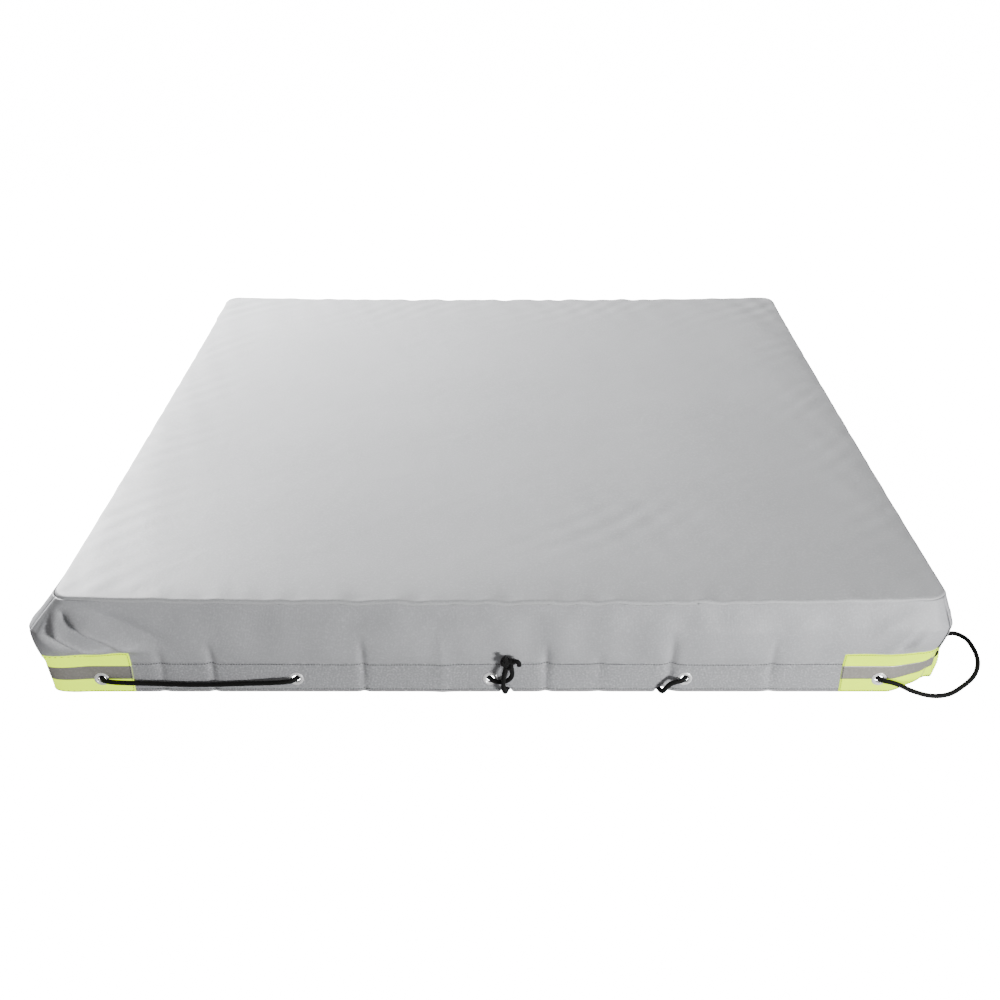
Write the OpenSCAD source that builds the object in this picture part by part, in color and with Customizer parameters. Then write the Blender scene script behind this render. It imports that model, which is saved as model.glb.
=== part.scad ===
// Spa cover: a square cap of coated cloth, drawn in at its hem by one elastic cord.
// Origin at the middle of the plan, on the surface that the hem stands on. The front faces -Y.

/* [Cover] */
// Width of the cover, left to right
cover_w = 1800; // [1500:10:2400]
// Depth of the cover, front to back
cover_d = 1800; // [1500:10:2400]
// Height from the hem's lower edge to the top
cover_h = 236; // [190:1:400]
// Radius of the upright corners
corner_r = 40; // [36:1:60]
// Thickness of one ply of the coated cloth
cloth_t = 1; // [0.6:0.1:1.4]
// How far the skirt stands out at the middle of its height
skirt_bulge = 15; // [6:1:30]
// Depth of the seam allowance turned down inside the top edge
seam_depth = 12; // [6:1:20]

/* [Hem] */
// Height of the hem band
hem_h = 76; // [62:1:95]
// How far the skirt's lower edge runs down between the plies of the hem
hem_lap = 12; // [5:1:14]
// Height of the arches where the cord passes under the front hem
arch_h = 13; // [12.5:0.5:16]
// Width of each arch at the ground
arch_w = 62; // [50:1:80]

/* [Corner tapes] */
// Width of the yellow tape
tape_w = 100; // [80:1:125]
// Thickness of the yellow tape
tape_t = 0.8; // [0.5:0.1:1]
// Height of the tape's lower edge above the ground
tape_gap = 1; // [0:0.5:6]
// Length of tape on the left end of each side, seen from outside
tape_left = 140; // [110:1:220]
// Length of tape on the right end of each side, seen from outside
tape_right = 194; // [150:1:260]
// Width of the silver strip along the tape's middle
strip_w = 33; // [20:1:45]
// Thickness of the silver strip
strip_t = 0.3; // [0.2:0.1:0.4]

/* [Eyelets] */
// Number of eyelets on each side
eyelets = 5; // [5]
// Outer diameter of an eyelet
eyelet_od = 31; // [28:0.5:38]
// Diameter of the hole through an eyelet
eyelet_hole = 17.5; // [17:0.25:21]
// Wall of the eyelet's barrel
eyelet_wall = 0.8; // [0.5:0.1:1.2]
// Thickness of the eyelet's rolled front ring
eyelet_t = 1.6; // [1:0.1:1.8]
// Height of the eyelet centres above the ground
eyelet_z = 34; // [24:1:42]
// First eyelet's distance from the left end of a side, seen from outside
inset_left = 74; // [66:1:110]
// Last eyelet's distance from the right end of a side, seen from outside
inset_right = 114; // [80:1:150]
// Outer diameter of the washer behind an eyelet
washer_od = 28; // [24:0.5:34]
// Thickness of the washer
washer_t = 1; // [0.6:0.1:1.2]
// How far the barrel's end is curled over the washer
curl_w = 2.4; // [1:0.1:3]
// Thickness of that curl
curl_t = 0.8; // [0.5:0.1:0.9]

/* [Cord] */
// Diameter of the elastic cord
cord_d = 10; // [8:0.5:10]
// Radius of the knot
knot_r = 14; // [12:0.5:16]
// Length of each tail left beyond the knot
tail_l = 26; // [15:1:40]

/* [Hidden] */
SIDES = ["front", "right", "back", "left"];
$fn = 64;

// Thickness of the hem: two plies with the skirt's edge between them
hem_t = 3 * cloth_t;
barrel_r = eyelet_hole / 2 + eyelet_wall;
through = 20;
// Half the width of the arch's circle above its centre line
arch_r = (arch_w * arch_w / 4 + arch_h * arch_h) / (2 * arch_h);

// Length of a side and its distance from the middle of the cover; side 0 is the front
function side_len(i) = (i % 2 == 0) ? cover_w : cover_d;
function side_off(i) = (i % 2 == 0) ? cover_d / 2 : cover_w / 2;

// Place of eyelet k (0 to eyelets - 1) along side i, from the side's middle
function eyelet_u(i, k) =
    -side_len(i) / 2 + inset_left + k * (side_len(i) - inset_left - inset_right) / (eyelets - 1);
// Whether that eyelet goes through a corner tape
function on_tape(i, k) =
    eyelet_u(i, k) + side_len(i) / 2 < tape_left || side_len(i) / 2 - eyelet_u(i, k) < tape_right;

// The skirt's outer face as [height, offset]: straight below and above, a half wave between them
wave_steps = 10;
wave_top = cover_h - seam_depth;
SKIRT = concat(
    [[hem_h - hem_lap, -cloth_t]],
    [for (s = [0:wave_steps]) let (t = s / wave_steps)
        [hem_h + t * (wave_top - hem_h), skirt_bulge * sin(180 * t) - cloth_t * (1 - t)]],
    [[cover_h, 0]]
);
// The face that a tape lies on: the hem, then the skirt once it stands out past the hem
function face(z) = z <= hem_h ? 0 : max(0, lookup(z, SKIRT));
// Heights from z0 to z1 at which that face bends
function heights(z0, z1) =
    concat([z0], [for (p = SKIRT) if (p[0] >= hem_h && p[0] > z0 && p[0] < z1) p[0]], [z1]);
// Cross-section of a band that lies on the face from z0 to z1, between two offsets from it
function band(z0, z1, inner, outer) = let (zs = heights(z0, z1), n = len(zs) - 1) concat(
    [for (z = zs) [face(z) + outer, z]],
    [for (j = [0:n]) [face(zs[n - j]) + inner, zs[n - j]]]
);
SKIRT_SECTION = concat(
    [for (p = SKIRT) [p[1], p[0]]],
    [for (j = [len(SKIRT) - 1:-1:0]) [SKIRT[j][1] - cloth_t, SKIRT[j][0]]]
);
HEM_SECTION = [
    [0, 0], [0, hem_h], [-cloth_t, hem_h], [-cloth_t, hem_h - hem_lap],
    [-2 * cloth_t, hem_h - hem_lap], [-2 * cloth_t, hem_h], [-hem_t, hem_h], [-hem_t, 0]
];
TAPE_SECTION = band(tape_gap, tape_gap + tape_w, 0, tape_t);
strip_z = tape_gap + (tape_w - strip_w) / 2;
STRIP_SECTION = band(strip_z, strip_z + strip_w, tape_t, tape_t + strip_t);

// Puts what is drawn for the front, outwards along -Y, on side i
module on_side(i) {
    rotate([0, 0, 90 * i]) translate([0, -side_off(i), 0]) children();
}

// A wall of the given [offset, height] section along side i, from u0 to u1
module wall(i, section, u0, u1) {
    on_side(i) translate([u0, 0, 0]) rotate([90, 0, 90]) linear_extrude(u1 - u0)
        polygon([for (p = section) [-p[0], p[1]]]);
}

// The eighth of a turn that carries that wall from side i to its left or right corner seam
module corner(i, section, right) {
    u = (right ? 1 : -1) * (side_len(i) / 2 - corner_r);
    on_side(i) translate([u, corner_r, 0])
        rotate_extrude(angle = 45, start = right ? 270 : 225)
            polygon([for (p = section) [corner_r + p[0], p[1]]]);
}

// A whole side: its straight wall and half of each corner
module side_wall(i, section) {
    half = side_len(i) / 2 - corner_r;
    union() {
        wall(i, section, -half, half);
        corner(i, section, false);
        corner(i, section, true);
    }
}

// A band round the corner between side i, at its left end, and the side before it
module corner_wall(i, section) {
    before = (i + 3) % 4;
    union() {
        wall(i, section, -side_len(i) / 2 + corner_r, -side_len(i) / 2 + tape_left);
        corner(i, section, false);
        corner(before, section, true);
        wall(before, section, side_len(before) / 2 - tape_right, side_len(before) / 2 - corner_r);
    }
}

// Round holes of radius r for all the eyelets of side i
module eyelet_holes(i, r) {
    for (k = [0:eyelets - 1])
        on_side(i) translate([eyelet_u(i, k), through, eyelet_z]) rotate([90, 0, 0])
            cylinder(h = 2 * through, r = r);
}

// Rounded square plate, inset from the skirt's outer face
module plate(inset, h) {
    r = corner_r - inset;
    x = cover_w / 2 - corner_r;
    y = cover_d / 2 - corner_r;
    linear_extrude(h) union() {
        square([2 * x, 2 * (y + r)], center = true);
        square([2 * (x + r), 2 * y], center = true);
        for (sx = [-1, 1], sy = [-1, 1]) translate([sx * x, sy * y]) circle(r);
    }
}

// Top panel with its seam allowance turned down just inside the skirts
module top_panel() {
    color([0.80, 0.80, 0.81]) difference() {
        translate([0, 0, cover_h - seam_depth]) plate(cloth_t, seam_depth);
        translate([0, 0, cover_h - seam_depth - 1]) plate(2 * cloth_t, seam_depth + 1 - cloth_t);
    }
}

module skirt(i) {
    color([0.66, 0.66, 0.68]) side_wall(i, SKIRT_SECTION);
}

// Shallow arch in the hem's lower edge, centred at u on side i
module arch(i, u) {
    on_side(i) translate([u, through, arch_h - arch_r]) rotate([90, 0, 0])
        cylinder(h = 2 * through, r = arch_r);
}

module hem(i) {
    color([0.60, 0.60, 0.62]) difference() {
        side_wall(i, HEM_SECTION);
        eyelet_holes(i, barrel_r);
        if (i == 0) for (u = ARCHES) arch(i, u);
    }
}

module tape(i) {
    color([0.86, 1.00, 0.25]) difference() {
        corner_wall(i, TAPE_SECTION);
        eyelet_holes(i, barrel_r);
        eyelet_holes((i + 3) % 4, barrel_r);
    }
}

module strip(i) {
    color([0.72, 0.71, 0.68]) difference() {
        corner_wall(i, STRIP_SECTION);
        eyelet_holes(i, barrel_r);
        eyelet_holes((i + 3) % 4, barrel_r);
    }
}

// One eyelet: rolled ring outside, barrel through the hem, end curled over the washer inside
rim_low = 0.3 * eyelet_t;
rim_high = 0.8 * eyelet_t;
mouth_high = 0.9 * eyelet_t;
rim_round = 1.4;
crown_in = 3;
mouth_w = 2;
module eyelet(front) {
    hole = eyelet_hole / 2;
    rim = eyelet_od / 2;
    back = -hem_t - washer_t;
    rotate_extrude() polygon([
        [hole, back - curl_t], [hole + curl_w, back - curl_t], [hole + curl_w, back],
        [barrel_r, back], [barrel_r, front], [rim, front],
        [rim, front + rim_low], [rim - rim_round, front + rim_high],
        [rim - crown_in, front + eyelet_t], [hole + mouth_w, front + mouth_high], [hole, front]
    ]);
}

module eyelet_row(i) {
    color([0.85, 0.86, 0.88]) for (k = [0:eyelets - 1])
        on_side(i) translate([eyelet_u(i, k), 0, eyelet_z]) rotate([90, 0, 0])
            eyelet(on_tape(i, k) ? tape_t + strip_t : 0);
}

module washer_row(i) {
    color([0.78, 0.79, 0.81]) for (k = [0:eyelets - 1])
        on_side(i) translate([eyelet_u(i, k), hem_t + washer_t, eyelet_z]) rotate([90, 0, 0])
            difference() {
                cylinder(h = washer_t, r = washer_od / 2);
                translate([0, 0, -1]) cylinder(h = washer_t + 2, r = barrel_r);
            }
}

// ---- The cord ----
// Point of the cord at place u and height z on side i, standing off the hem by r
function at(i, u, r, z) = let (o = side_off(i) + r)
    i == 0 ? [u, -o, z] : i == 1 ? [o, u, z] : i == 2 ? [-u, o, z] : [-o, -u, z];
// Line of the cord outside the hem, inside it, and as it crosses an eyelet
run_gap_out = 2;
run_gap_in = 3;
run_out = cord_d / 2 + run_gap_out;
run_in = -hem_t - cord_d / 2 - run_gap_in;
run_drop = 2;
RUN_STOPS = [0.25, 0.5, 0.75];
cross_mid = -1.6;
cross_half = 12;
cross_bend = 20;
cross_angle = acos(1 - cross_half / cross_bend);
sag = 10;

// The cord through eyelet k of side i as two arcs that meet in the hole;
// way is -1 when the cord travels to lower u, and inward is 1 when it goes in
function crossing(i, k, way, inward) = [for (j = [-2:2])
    let (s = sign(j), a = cross_angle * (2 - abs(j)) / 2,
        du = s * cross_bend * (sin(cross_angle) - sin(a)),
        dr = -s * (cross_half - cross_bend * (1 - cos(a))))
    at(i, eyelet_u(i, k) + way * du, cross_mid + inward * dr, eyelet_z)];

// Between eyelets k and k - 1 the cord lies along the hem; outside it sags
function run(i, k, outside) = [for (f = RUN_STOPS)
    let (u = eyelet_u(i, k) * (1 - f) + eyelet_u(i, k - 1) * f)
    at(i, u, outside ? run_out : run_in, eyelet_z - (outside ? sag * sin(180 * f) : run_drop))];

// Round the corner at the left end of side i, inside or outside the hem
turn_in = 12;
TURN_STOPS = [15, 45, 75];
function round_corner(i, outside) =
    let (r = corner_r + (outside ? run_out : -turn_in), off = corner_r,
        cu = -side_len(i) / 2 + off)
    [for (b = TURN_STOPS) at(i, cu - r * sin(b), r * cos(b) - off, eyelet_z - run_drop)];

// From eyelet a down to eyelet b of side i, starting inwards or outwards
function lace(i, a, b, inward) = [for (k = [a:-1:b])
    let (now = (a - k) % 2 == 0 ? inward : -inward)
    for (p = concat(crossing(i, k, -1, now), k > b ? run(i, k, now < 0) : [])) p];

// Hand-set stretches: from the knot to the middle eyelet of the front, out of the right side's
// first eyelet and round the front right corner on the ground, and from the front's fourth eyelet
// down under the hem, along inside it, out again and up to the knot
ARCHES = [334, 14];
// The hand-set points belong to a cover of this half width and depth, and move with its front right corner
SET_HALF = 900;
function with_front(p) = p + [0, SET_HALF - cover_d / 2, 0];
function with_corner(p) = with_front(p) + [cover_w / 2 - SET_HALF, 0, 0];
KNOT = [17, -919, 88];
FROM_KNOT = [[22.5, -919, 78], [24, -918, 68], [25, -916, 58], [22, -914, 46.5], [14, -912, 38]];
FREE_LOOP = [
    [888, -520, 32], [886, -640, 32], [882, -740, 33], [878, -788, 34], [878, -806, 34],
    [884, -820, 34], [898, -826, 34], [913, -824, 34], [928, -815, 33], [938, -800, 31],
    [950, -772, 25], [968, -738, 15], [990, -708, 8], [1014, -698, 6], [1032, -714, 6],
    [1038, -756, 6], [1030, -806, 6], [1006, -852, 6], [968, -890, 6], [928, -917, 6],
    [890, -926, 10], [852, -922, 19], [824, -914, 29]
];
TO_KNOT = [
    [352, -912, 29], [343, -914, 20], [338, -912, 11], [334, -902, 6], [330, -892, 6],
    [318, -883, 6], [298, -879, 6], [240, -878, 6], [150, -878, 6], [70, -878, 6], [40, -880, 6],
    [24, -886, 6], [15, -897, 6], [12, -908, 7], [10, -916, 13], [8, -921, 22], [7, -923, 34],
    [7, -923, 48], [9, -921, 62], [11, -919, 70], [11.5, -919, 78]
];
last = eyelets - 1;
ROUTE = concat(
    [for (p = FROM_KNOT) with_front(p)],
    lace(0, 2, 0, 1),
    round_corner(0, false),
    lace(3, last, 0, -1),
    round_corner(3, true),
    lace(2, last, 0, 1),
    round_corner(2, false),
    lace(1, last, 1, -1),
    [for (p = FREE_LOOP) with_corner(p)],
    lace(0, last, last - 1, 1),
    [for (p = TO_KNOT) with_front(p)]
);

function unit(v) = v / norm(v);
// Frame carried along the route: each ring's first radius stays as near the last one's as it can
function tangent(p, i) = unit(p[min(i + 1, len(p) - 1)] - p[max(i - 1, 0)]);
function carried(p, i, n) = let (t = tangent(p, i), m = unit(n - (n * t) * t))
    i == len(p) - 1 ? [m] : concat([m], carried(p, i + 1, m));

// Tube of diameter d along the points p
module tube(p, d, sides) {
    normals = carried(p, 0, [0, 0, 1]);
    points = [for (i = [0:len(p) - 1])
        let (t = tangent(p, i), n = normals[i], b = cross(t, n))
        for (s = [0:sides - 1]) p[i] + d / 2 * (n * cos(360 * s / sides) + b * sin(360 * s / sides))];
    walls = [for (i = [0:len(p) - 2], s = [0:sides - 1]) let (q = (s + 1) % sides)
        [(i + 1) * sides + s, (i + 1) * sides + q, i * sides + q, i * sides + s]];
    start_cap = [for (s = [0:sides - 1]) s];
    end_cap = [for (s = [sides - 1:-1:0]) (len(p) - 1) * sides + s];
    polyhedron(points, concat(walls, [start_cap, end_cap]), convexity = 10);
}

cord_sides = 8;
module lacing_cord() {
    color([0.06, 0.06, 0.06]) tube(ROUTE, cord_d, cord_sides);
}

// Knot as a ball with two short tails and a flat underside where the cord's two ends enter
knot_flat = 10;
TAIL_ANGLES = [40, 100];
module cord_knot() {
    color([0.06, 0.06, 0.06]) translate(with_front(KNOT)) union() {
        difference() {
            sphere(knot_r);
            translate([0, 0, -knot_flat - knot_r]) cylinder(h = knot_r, r = 2 * knot_r);
        }
        for (a = TAIL_ANGLES) rotate([0, a, 0]) cylinder(h = tail_l, d = cord_d);
    }
}

top_panel();
skirt(0);  // front_skirt
skirt(1);  // right_skirt
skirt(2);  // back_skirt
skirt(3);  // left_skirt
hem(0);  // front_hem
hem(1);  // right_hem
hem(2);  // back_hem
hem(3);  // left_hem
tape(0);  // front_left_tape
tape(1);  // front_right_tape
tape(2);  // back_right_tape
tape(3);  // back_left_tape
strip(0);  // front_left_strip
strip(1);  // front_right_strip
strip(2);  // back_right_strip
strip(3);  // back_left_strip
eyelet_row(0);  // front_eyelets
eyelet_row(1);  // right_eyelets
eyelet_row(2);  // back_eyelets
eyelet_row(3);  // left_eyelets
washer_row(0);  // front_washers
washer_row(1);  // right_washers
washer_row(2);  // back_washers
washer_row(3);  // left_washers
lacing_cord();
cord_knot();
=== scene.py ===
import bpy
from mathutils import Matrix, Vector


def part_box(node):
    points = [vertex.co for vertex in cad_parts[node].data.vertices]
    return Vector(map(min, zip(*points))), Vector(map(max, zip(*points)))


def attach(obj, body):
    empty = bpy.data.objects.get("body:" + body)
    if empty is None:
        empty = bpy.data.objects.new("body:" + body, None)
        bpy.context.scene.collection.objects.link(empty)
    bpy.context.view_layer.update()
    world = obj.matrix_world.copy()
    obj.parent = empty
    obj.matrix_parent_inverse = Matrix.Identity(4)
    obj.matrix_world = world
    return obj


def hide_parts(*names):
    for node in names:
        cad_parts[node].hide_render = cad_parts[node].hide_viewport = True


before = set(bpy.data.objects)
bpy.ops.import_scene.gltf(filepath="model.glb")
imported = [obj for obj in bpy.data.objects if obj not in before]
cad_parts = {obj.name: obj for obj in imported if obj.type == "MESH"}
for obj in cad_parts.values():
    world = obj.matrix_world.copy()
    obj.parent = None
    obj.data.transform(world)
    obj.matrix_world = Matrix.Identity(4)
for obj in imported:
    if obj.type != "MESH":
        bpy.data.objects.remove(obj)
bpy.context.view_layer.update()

import math

import bpy
import numpy as np

# ---- Where it stands ----
# The cover lies on a white floor in even white light. The camera looks down on its front edge
# from above, centred on the cover.
top_low, top_high = (np.array(corner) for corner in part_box("top_panel"))
hem_low, hem_high = (np.array(corner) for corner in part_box("front_hem"))
FRONT_Y = hem_low[1]
TOP_Z = top_high[2]
CAMERA_BACK = 1.977
CAMERA_RISE = 1.313
CAMERA_TILT = math.radians(28.9)
SENSOR_MM = 36.0
LENS_MM = 42.73

camera = bpy.data.objects.new("camera", bpy.data.cameras.new("camera"))
camera.data.sensor_width = SENSOR_MM
camera.data.lens = LENS_MM
camera.location = (0.0, FRONT_Y - CAMERA_BACK, TOP_Z + CAMERA_RISE)
camera.rotation_euler = (math.pi / 2 - CAMERA_TILT, 0.0, 0.0)
bpy.context.scene.collection.objects.link(camera)
bpy.context.scene.camera = camera


def linear(hex_colour):
    """sRGB hex value to linear red, green, blue and alpha."""
    parts = [int(hex_colour[i:i + 2], 16) / 255 for i in (0, 2, 4)]
    return [p / 12.92 if p <= 0.04045 else ((p + 0.055) / 1.055) ** 2.4 for p in parts] + [1.0]


def new_material(name):
    """An empty node material, its principled shader and its tree."""
    material = bpy.data.materials.new(name)
    material.use_nodes = True
    return material, material.node_tree.nodes["Principled BSDF"], material.node_tree


def mesh_piece(name, points, faces, material, uv=None, shaded_smooth=True):
    """A mesh object at the origin from arrays of points and of faces; uv has a row for each point."""
    mesh = bpy.data.meshes.new(name)
    mesh.from_pydata(np.asarray(points, float).tolist(), [], [list(map(int, f)) for f in faces])
    if uv is not None:
        layer = mesh.uv_layers.new(name="cloth")
        corners = np.empty(len(mesh.loops), np.int32)
        mesh.loops.foreach_get("vertex_index", corners)
        layer.data.foreach_set("uv", np.asarray(uv, np.float32)[corners].ravel())
    mesh.polygons.foreach_set("use_smooth", np.full(len(mesh.polygons), shaded_smooth))
    mesh.materials.append(material)
    piece = bpy.data.objects.new(name, mesh)
    bpy.context.scene.collection.objects.link(piece)
    return piece


# Matt white paint that glows, so that the floor is pure white to the eye. It is kept out of the
# bounced and mirrored light, which would wash out the cover's folds.
FLOOR_GLOW = 16.0
FLOOR_HALF = 14.0
floor_material, floor_shader, _ = new_material("white_painted_floor")
floor_shader.inputs["Base Color"].default_value = linear("F6F6F6")
floor_shader.inputs["Roughness"].default_value = 0.9
floor_shader.inputs["Emission Color"].default_value = linear("FFFFFF")
floor_shader.inputs["Emission Strength"].default_value = FLOOR_GLOW
floor_corners = [[FLOOR_HALF * x, FLOOR_HALF * y, 0] for x, y in ((-1, -1), (1, -1), (1, 1), (-1, 1))]
floor = mesh_piece("floor", floor_corners, [[0, 1, 2, 3]], floor_material, shaded_smooth=False)
floor.visible_diffuse = False
floor.visible_glossy = False

# A dim white room all round, a large soft lamp high behind the left corner, which lights the top,
# and a smaller one near the floor at the front right, which rakes the front's folds.
WORLD_STRENGTH = 0.27
LIT_POINT = np.array([0.0, 0.0, 0.1])
world = bpy.data.worlds.new("white_studio")
world.use_nodes = True
world.node_tree.nodes["Background"].inputs["Color"].default_value = linear("FFFFFF")
world.node_tree.nodes["Background"].inputs["Strength"].default_value = WORLD_STRENGTH
bpy.context.scene.world = world

for name, place, size, power in (
    ("key_softbox", (-2.4, 1.5, 1.7), 1.1, 360.0),
    ("low_right_softbox", (2.0, -3.2, 0.12), 0.7, 165.0),
):
    light = bpy.data.lights.new(name, "AREA")
    light.size = size
    light.energy = power
    lamp = bpy.data.objects.new(name, light)
    lamp.location = place
    direction = LIT_POINT - np.array(place)
    lamp.rotation_euler = (math.atan2(math.hypot(direction[0], direction[1]), -direction[2]), 0.0,
                           math.atan2(direction[1], direction[0]) - math.pi / 2)
    bpy.context.scene.collection.objects.link(lamp)

# ---- The elastic cord ----
# One 10 mm shock cord, rubber strands in a black braided polyester sheath, laced in and out of
# all twenty eyelets. It lies loose on the ground at the front right corner, and its two ends
# meet in a knot at the middle of the front.
CORD_D = 0.010
EYELETS = 5
# From the ends of a side to its first and last eyelets
INSET_LEFT = 0.074
INSET_RIGHT = 0.114
EYELET_Z = 0.034
HEM_T = 0.003
CORNER_R = 0.040
half_w = -float(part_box("left_hem")[0][0])
half_d = -float(hem_low[1])
side_half = [half_w, half_d, half_w, half_d]
side_off = [half_d, half_w, half_d, half_w]


def eyelet_u(side, k):
    """Place of eyelet k along a side, evenly spaced between the two end insets."""
    half = side_half[side]
    return -half + INSET_LEFT + k * (2 * half - INSET_LEFT - INSET_RIGHT) / (EYELETS - 1)


def on_side(side, u, off, z):
    """World place of a point u along a side and off outside it: the front's, turned by quarter turns."""
    x, y = u, -(side_off[side] + off)
    return [(x, y, z), (-y, x, z), (-x, -y, z), (y, -x, z)][side]


# Through an eyelet the cord runs in two arcs of radius CROSS_BEND, CROSS_HALF each way from the
# middle of the hem. Between eyelets it lies a gap from the cloth, outside or inside.
CROSS_MID = -0.0016
CROSS_HALF = 0.012
CROSS_BEND = 0.020
CROSS_ANGLE = math.acos(1 - CROSS_HALF / CROSS_BEND)
RUN_GAP_OUT = 0.002
RUN_GAP_IN = 0.003
RUN_OUT = CORD_D / 2 + RUN_GAP_OUT
RUN_IN = -HEM_T - CORD_D / 2 - RUN_GAP_IN
RUN_STOPS = (0.25, 0.5, 0.75)
RUN_DROP = 0.002
SAG = 0.010


def crossing(side, k, inward):
    """The cord through an eyelet: two equal arcs that meet in the hole; inward is 1 or -1."""
    points = []
    for j in range(-2, 3):
        s = (j > 0) - (j < 0)
        a = CROSS_ANGLE * (2 - abs(j)) / 2
        along = s * CROSS_BEND * (math.sin(CROSS_ANGLE) - math.sin(a))
        depth = -s * (CROSS_HALF - CROSS_BEND * (1 - math.cos(a)))
        points.append(on_side(side, eyelet_u(side, k) - along, CROSS_MID + inward * depth, EYELET_Z))
    return points


def lace(side, first, last, inward):
    """From eyelet first down to eyelet last: crossings that alternate, joined by runs along the hem;
    a run outside sags by half a wave."""
    points = []
    for k in range(first, last - 1, -1):
        points += crossing(side, k, inward)
        if k > last:
            for f in RUN_STOPS:
                u = eyelet_u(side, k) * (1 - f) + eyelet_u(side, k - 1) * f
                drop = SAG * math.sin(math.pi * f) if inward < 0 else RUN_DROP
                points.append(on_side(side, u, RUN_OUT if inward < 0 else RUN_IN, EYELET_Z - drop))
        inward = -inward
    return points


TURN_IN = 0.012
TURN_STOPS = (15, 45, 75)


def round_corner(side, outside):
    """Three points of a circle about the corner's centre at the left end of a side."""
    r = CORNER_R + RUN_OUT if outside else CORNER_R - TURN_IN
    start = -side_half[side] + CORNER_R
    turns = [math.radians(b) for b in TURN_STOPS]
    return [on_side(side, start - r * math.sin(t), r * math.cos(t) - CORNER_R, EYELET_Z - RUN_DROP)
            for t in turns]


# Listed stretches: from the knot to the middle eyelet of the front, out of the right side's
# first eyelet and round the front right corner on the ground, and from the front's fourth eyelet
# down under the hem, along inside it, out again and up to the knot
FROM_KNOT = [
    (0.0225, -0.919, 0.078), (0.024, -0.918, 0.068), (0.025, -0.916, 0.058), (0.022, -0.914, 0.0465),
    (0.014, -0.912, 0.038),
]
FREE_LOOP = [
    (0.888, -0.520, 0.032), (0.886, -0.640, 0.032), (0.882, -0.740, 0.033), (0.878, -0.788, 0.034),
    (0.878, -0.806, 0.034), (0.884, -0.820, 0.034), (0.898, -0.826, 0.034), (0.913, -0.824, 0.034),
    (0.928, -0.815, 0.033), (0.938, -0.800, 0.031), (0.950, -0.772, 0.025), (0.968, -0.738, 0.015),
    (0.990, -0.708, 0.008), (1.014, -0.698, 0.006), (1.032, -0.714, 0.006), (1.038, -0.756, 0.006),
    (1.030, -0.806, 0.006), (1.006, -0.852, 0.006), (0.968, -0.890, 0.006), (0.928, -0.917, 0.006),
    (0.890, -0.926, 0.010), (0.852, -0.922, 0.019), (0.824, -0.914, 0.029),
]
TO_KNOT = [
    (0.352, -0.912, 0.029), (0.343, -0.914, 0.020), (0.338, -0.912, 0.011), (0.334, -0.902, 0.006),
    (0.330, -0.892, 0.006), (0.318, -0.883, 0.006), (0.298, -0.879, 0.006), (0.240, -0.878, 0.006),
    (0.150, -0.878, 0.006), (0.070, -0.878, 0.006), (0.040, -0.880, 0.006), (0.024, -0.886, 0.006),
    (0.015, -0.897, 0.006), (0.012, -0.908, 0.007), (0.010, -0.916, 0.013), (0.008, -0.921, 0.022),
    (0.007, -0.923, 0.034), (0.007, -0.923, 0.048), (0.009, -0.921, 0.062), (0.011, -0.919, 0.070),
    (0.0115, -0.919, 0.078),
]
LAST = EYELETS - 1
route = np.array(
    FROM_KNOT + lace(0, 2, 0, 1) + round_corner(0, False) + lace(3, LAST, 0, -1) + round_corner(3, True)
    + lace(2, LAST, 0, 1) + round_corner(2, False) + lace(1, LAST, 1, -1) + FREE_LOOP
    + lace(0, LAST, LAST - 1, 1) + TO_KNOT)


TIMING = 0.75


def smooth_line(points, step):
    """Even points along the curve through the given ones: cubic pieces whose slope at each point is
    that of the curve between its neighbours, each piece timed by its chord's length to the power
    TIMING."""
    p = np.asarray(points, float)
    t = np.concatenate([[0], np.cumsum(np.linalg.norm(np.diff(p, axis=0), axis=1) ** TIMING)])
    m = np.gradient(p, t, axis=0)
    fine = np.linspace(0, t[-1], 12 * len(p))
    i = np.clip(np.searchsorted(t, fine, side="right") - 1, 0, len(p) - 2)
    h = (t[i + 1] - t[i])[:, None]
    s = ((fine - t[i]) / h[:, 0])[:, None]
    line = ((2 * s**3 - 3 * s**2 + 1) * p[i] + (s**3 - 2 * s**2 + s) * h * m[i]
            + (3 * s**2 - 2 * s**3) * p[i + 1] + (s**3 - s**2) * h * m[i + 1])
    run = np.concatenate([[0], np.cumsum(np.linalg.norm(np.diff(line, axis=0), axis=1))])
    even = np.linspace(0, run[-1], int(run[-1] / step) + 1)
    return np.stack([np.interp(even, run, line[:, k]) for k in range(3)], -1), run[-1]


def grid_faces(rows, columns, closed=False):
    """Faces of a grid of points, row after row; closed joins the last column to the first."""
    r, c = np.meshgrid(np.arange(rows - 1), np.arange(columns if closed else columns - 1), indexing="ij")
    d = (c + 1) % columns
    near, far = r * columns, (r + 1) * columns
    return np.stack([near + c, near + d, far + d, far + c], -1).reshape(-1, 4)


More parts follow.
